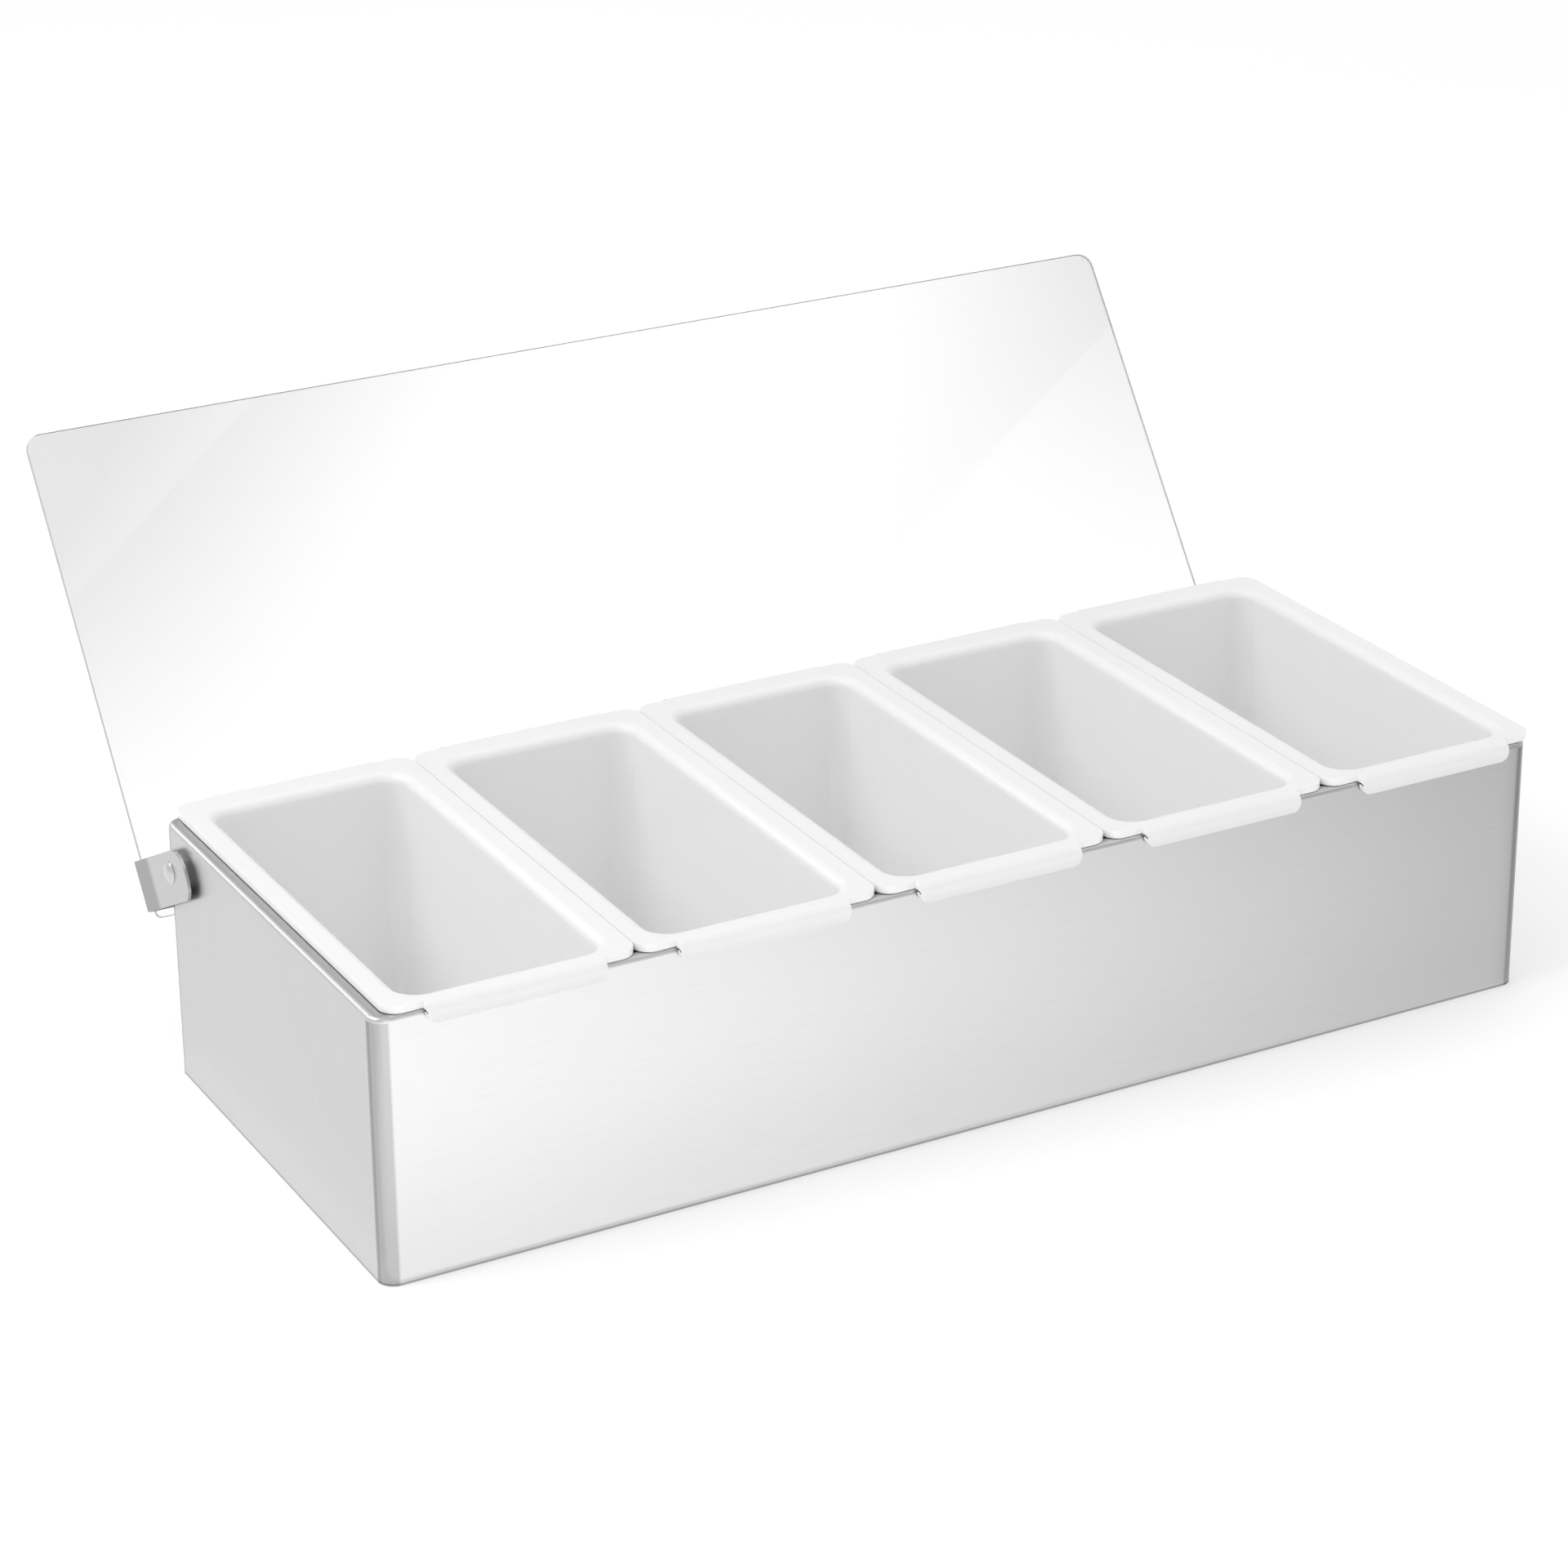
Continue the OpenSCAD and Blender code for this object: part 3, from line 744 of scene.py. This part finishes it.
def model_insert(name):
    """One insert about x = y = 0: a rounded rim, a drafted cup and two hanging tabs."""
    sizes = bpy.context.scene.caddy_insert
    low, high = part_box(INSERTS[0])
    wide = high.x - low.x
    deep = high.y - low.y - 2 * sizes.tab_reach
    half_tab = wide / 2 - sizes.tab_inset
    top = high.z
    cup = model_cup(sizes, wide, deep, top, low.z + sizes.wall)
    rim = add_plane(name, (-wide / 2, -deep / 2), (wide / 2, deep / 2))
    score(rim, half_tab)
    round_corners(rim, sizes.rim_corner, CORNER_STEPS, is_corner)
    bpy.ops.mesh.select_all(action="SELECT")
    bpy.ops.mesh.delete(type="ONLY_FACE")
    bridge(rim, cup)
    for side in (-1, 1):
        hang_tab(rim, side, half_tab, deep / 2, sizes, BODY_HIGH.z - sizes.tab_drop - top)
    face_up(rim)
    apply_modifier(rim, "SOLIDIFY", thickness=sizes.wall, offset=-1, use_even_offset=True)
    soften(rim, sizes.edge)
    rim.location = (0, 0, top)
    pick(rim)
    bpy.ops.object.transform_apply(location=True, rotation=True, scale=True)
    return rim


class CADDY_OT_inserts(bpy.types.Operator):
    """Models one insert, and copies it to each place in the row"""

    bl_idname = "caddy.inserts"
    bl_label = "Inserts"

    def execute(self, context):
        plastic = white_plastic()
        first = model_insert("white_insert")
        for node in INSERTS:
            low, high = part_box(node)
            pick(first)
            bpy.ops.object.duplicate(linked=False)
            piece = bpy.context.object
            piece.name = "soft_" + node
            piece.location = ((low.x + high.x) / 2, (low.y + high.y) / 2, 0)
            settle(piece, plastic, node, "white_plastic", node)
        bpy.data.objects.remove(first)
        return {"FINISHED"}


# The lid

class CADDY_OT_lid(bpy.types.Operator):
    """Models the clear sheet, with round corners and sawn edges"""

    bl_idname = "caddy.lid"
    bl_label = "Clear lid"

    def execute(self, context):
        sizes = context.scene.caddy_lid
        half = BODY_HIGH.x - sizes.side_gap
        lid = add_plane("clear_lid", (-half, -sizes.heel), (half, sizes.reach))
        round_corners(lid, sizes.free_corner, ROLL_STEPS, lambda v: v.co.y > sizes.reach - MM)
        round_corners(lid, sizes.heel_corner, SMALL_STEPS,
                      lambda v: v.co.y < MM - sizes.heel and abs(v.co.x) > half - MM)
        start_clean()
        # The sheet is drawn lying down, with its inner face up at the offset below the pivot
        lid.location.z = -sizes.offset
        pick(lid)
        bpy.ops.object.transform_apply(location=True, rotation=False, scale=False)
        apply_modifier(lid, "SOLIDIFY", thickness=sizes.thick, offset=-1)
        soften(lid, sizes.edge, steps=2)
        lid.rotation_euler = (math.pi / 2 - sizes.lean, 0, 0)
        lid.location = PIVOT
        settle(lid, clear_sheet(), "lid", "clear_plastic", "lid_sheet")
        lid.data.materials.append(sawn_edge())
        square = square_to_lid(sizes)
        for face in lid.data.polygons:
            face.material_index = int(abs(face.normal.dot(square)) < SAWN_TILT)
        return {"FINISHED"}


# Steel pieces

class CADDY_OT_brackets(bpy.types.Operator):
    """Gives the bent brackets their broken edges and polished steel"""

    bl_idname = "caddy.brackets"
    bl_label = "Hinge brackets"

    def execute(self, context):
        steel = bracket_steel()
        for side in SIDES:
            node = "hinge_bracket_" + side
            source = frame["nodes"][node]
            piece = bpy.data.objects.new("soft_bracket_" + side, source.data.copy())
            context.scene.collection.objects.link(piece)
            edit(piece)
            bpy.ops.mesh.select_all(action="SELECT")
            bpy.ops.mesh.customdata_custom_splitnormals_clear()
            bpy.ops.mesh.remove_doubles(threshold=BRACKET_WELD)
            bpy.ops.mesh.dissolve_limited(angle_limit=math.radians(0.5))
            start_clean()
            soften(piece, BRACKET_EDGE, steps=2, sharp=35)
            settle(piece, steel, "lid", "steel_bracket", node)
        return {"FINISHED"}


class CADDY_OT_steel(bpy.types.Operator):
    """Puts brushed steel on the body and bright steel on the rivets and washers"""

    bl_idname = "caddy.steel"
    bl_label = "Steel finishes"

    def execute(self, context):
        sheet = satin_steel()
        for node in ("body_wall", "base_pan"):
            dress(node, sheet)
        bright = polished_steel("bright_rivet", grain=300, rough=0.16, bump=0.05)
        dull = polished_steel("rolled_washer", grain=700, rough=0.30, bump=0.12)
        for side in SIDES:
            for kind in ("pivot_rivet_", "lid_rivets_"):
                dress(kind + side, bright)
            for kind in ("pivot_spacer_", "pivot_washer_", "lid_washers_"):
                dress(kind + side, dull)
        return {"FINISHED"}


# The stage

def add_softbox(name, place, target, wide, tall, watts):
    """A rectangular soft light that shines at a point."""
    start_clean()
    bpy.ops.object.light_add(type="AREA", location=place)
    lamp = bpy.context.object
    lamp.name = name
    lamp.data.shape = "RECTANGLE"
    lamp.data.size = wide
    lamp.data.size_y = tall
    lamp.data.energy = watts
    lamp.rotation_euler = (Vector(target) - lamp.location).to_track_quat("-Z", "Y").to_euler()


def card_glow(name, wide, tall, start, end, soft, near):
    """Light that fades along a card's width, and towards its ends and its upper edge."""
    material, tree, shader, place = new_material(name)
    spot = split_place(tree, place)
    glow = add_range(tree, spot["X"], start, end, -wide / 2, wide / 2, "SMOOTHSTEP")
    if soft:
        for axis, size in (("X", wide), ("Y", tall)):
            away = add_maths(tree, "ABSOLUTE", spot[axis])
            rise = add_range(tree, away, 0.0, 1.0, size / 2, size / 2 * (1 - soft), "SMOOTHSTEP")
            glow = multiply(tree, glow, rise)
    if near < 1:
        rise = add_range(tree, spot["Y"], 0.0, 1.0, tall / 2, tall / 2 - NEAR_FADE, "SMOOTHSTEP")
        glow = multiply(tree, glow, add_range(tree, rise, near, 1.0))
    tree.links.new(glow, shader.inputs["Emission Strength"])
    shader.inputs["Emission Color"].default_value = (1, 1, 1, 1)
    shader.inputs["Base Color"].default_value = (0, 0, 0, 1)
    shader.inputs["Specular IOR Level"].default_value = 0
    return material


def add_reflector(name, place, turn, wide, tall, start, end, soft=0.0, near=1.0):
    """A glowing card that only shows in reflections, turned by these degrees.

    It glows from start to end along its width. The soft share of its ends fades out, and its
    upper edge has the near share of its glow.
    """
    start_clean()
    bpy.ops.mesh.primitive_plane_add(size=1, location=place,
                                     rotation=[math.radians(each) for each in turn])
    card = bpy.context.object
    card.name = name
    card.scale = (wide, tall, 1)
    bpy.ops.object.transform_apply(location=False, rotation=False, scale=True)
    card.data.materials.append(card_glow(name, wide, tall, start, end, soft, near))
    card.visible_camera = False
    card.visible_diffuse = False
    card.visible_transmission = False
    card.visible_shadow = False


def add_camera():
    """The camera: a three-quarter view from the front left, looking down a little."""
    start_clean()
    bpy.ops.object.camera_add(location=CAMERA_PLACE)
    camera = bpy.context.object
    turn = (Matrix.Rotation(math.radians(CAMERA_HEADING), 3, "Z")
            @ Matrix.Rotation(math.radians(90 - CAMERA_DIP), 3, "X")
            @ Matrix.Rotation(math.radians(CAMERA_ROLL), 3, "Z"))
    camera.rotation_euler = turn.to_euler()
    camera.data.sensor_width = SENSOR
    camera.data.lens = FOCAL_PIXELS / IMAGE_PIXELS * SENSOR
    camera.data.shift_y = CAMERA_SHIFT
    camera.data.clip_start = 0.01
    bpy.context.scene.camera = camera


def add_floor(shade):
    """A wide pale floor under the caddy."""
    start_clean()
    bpy.ops.mesh.primitive_plane_add(size=FLOOR_SIZE, location=(0, 0, BODY_LOW.z - 0.02 * MM))
    floor = bpy.context.object
    floor.name = "pale_floor"
    material, tree, shader, place = new_material("pale_floor")
    tint(tree, shade, add_range(tree, add_clouds(tree, place, 3), 0.99, 1.01), shader)
    shader.inputs["Roughness"].default_value = 0.7
    shader.inputs["Emission Color"].default_value = (1, 1, 1, 1)
    shader.inputs["Emission Strength"].default_value = FLOOR_GLOW
    floor.data.materials.append(material)


def add_sky(scene):
    """A plain white surrounding."""
    world = bpy.data.worlds.new("white_studio")
    world.use_nodes = True
    sky = world.node_tree.nodes["Background"]
    sky.inputs["Color"].default_value = (1, 1, 1, 1)
    sky.inputs["Strength"].default_value = SKY
    scene.world = world
    scene.view_settings.view_transform = "Standard"


class CADDY_OT_stage(bpy.types.Operator):
    """Makes the pale floor, the soft studio lights and the camera"""

    bl_idname = "caddy.stage"
    bl_label = "Stage"

    def execute(self, context):
        add_camera()
        add_floor(context.scene.caddy_finish.floor)
        for lamp in SOFTBOXES:
            add_softbox(target=(0, 0, BODY_HIGH.z), **lamp)
        for card in CARDS:
            add_reflector(**card)
        add_sky(context.scene)
        return {"FINISHED"}


# The add-on

class CADDY_PT_panel(bpy.types.Panel):
    """The caddy's sizes, finishes and steps"""

    bl_label = "Bar caddy"
    bl_idname = "CADDY_PT_panel"
    bl_space_type = "VIEW_3D"
    bl_region_type = "UI"
    bl_category = "Bar Caddy"

    def draw(self, context):
        for name, group in GROUPS.items():
            box = self.layout.box()
            for field in group.__annotations__:
                box.prop(getattr(context.scene, name), field)
        for step in STEPS:
            self.layout.operator(step.bl_idname)


STEPS = (CADDY_OT_stage, CADDY_OT_steel, CADDY_OT_inserts, CADDY_OT_lid, CADDY_OT_brackets)
CLASSES = tuple(GROUPS.values()) + STEPS + (CADDY_PT_panel,)


def register():
    """Makes the panel, the steps and the settings known to Blender."""
    for each in CLASSES:
        bpy.utils.register_class(each)
    for name, group in GROUPS.items():
        setattr(bpy.types.Scene, name, bpy.props.PointerProperty(type=group))


def unregister():
    """Takes them out again."""
    for name in GROUPS:
        delattr(bpy.types.Scene, name)
    for each in reversed(CLASSES):
        bpy.utils.unregister_class(each)


def main():
    """Makes the whole scene."""
    register()
    bpy.ops.caddy.stage()
    bpy.ops.caddy.steel()
    bpy.ops.caddy.inserts()
    bpy.ops.caddy.lid()
    bpy.ops.caddy.brackets()


if __name__ == "__main__":
    main()
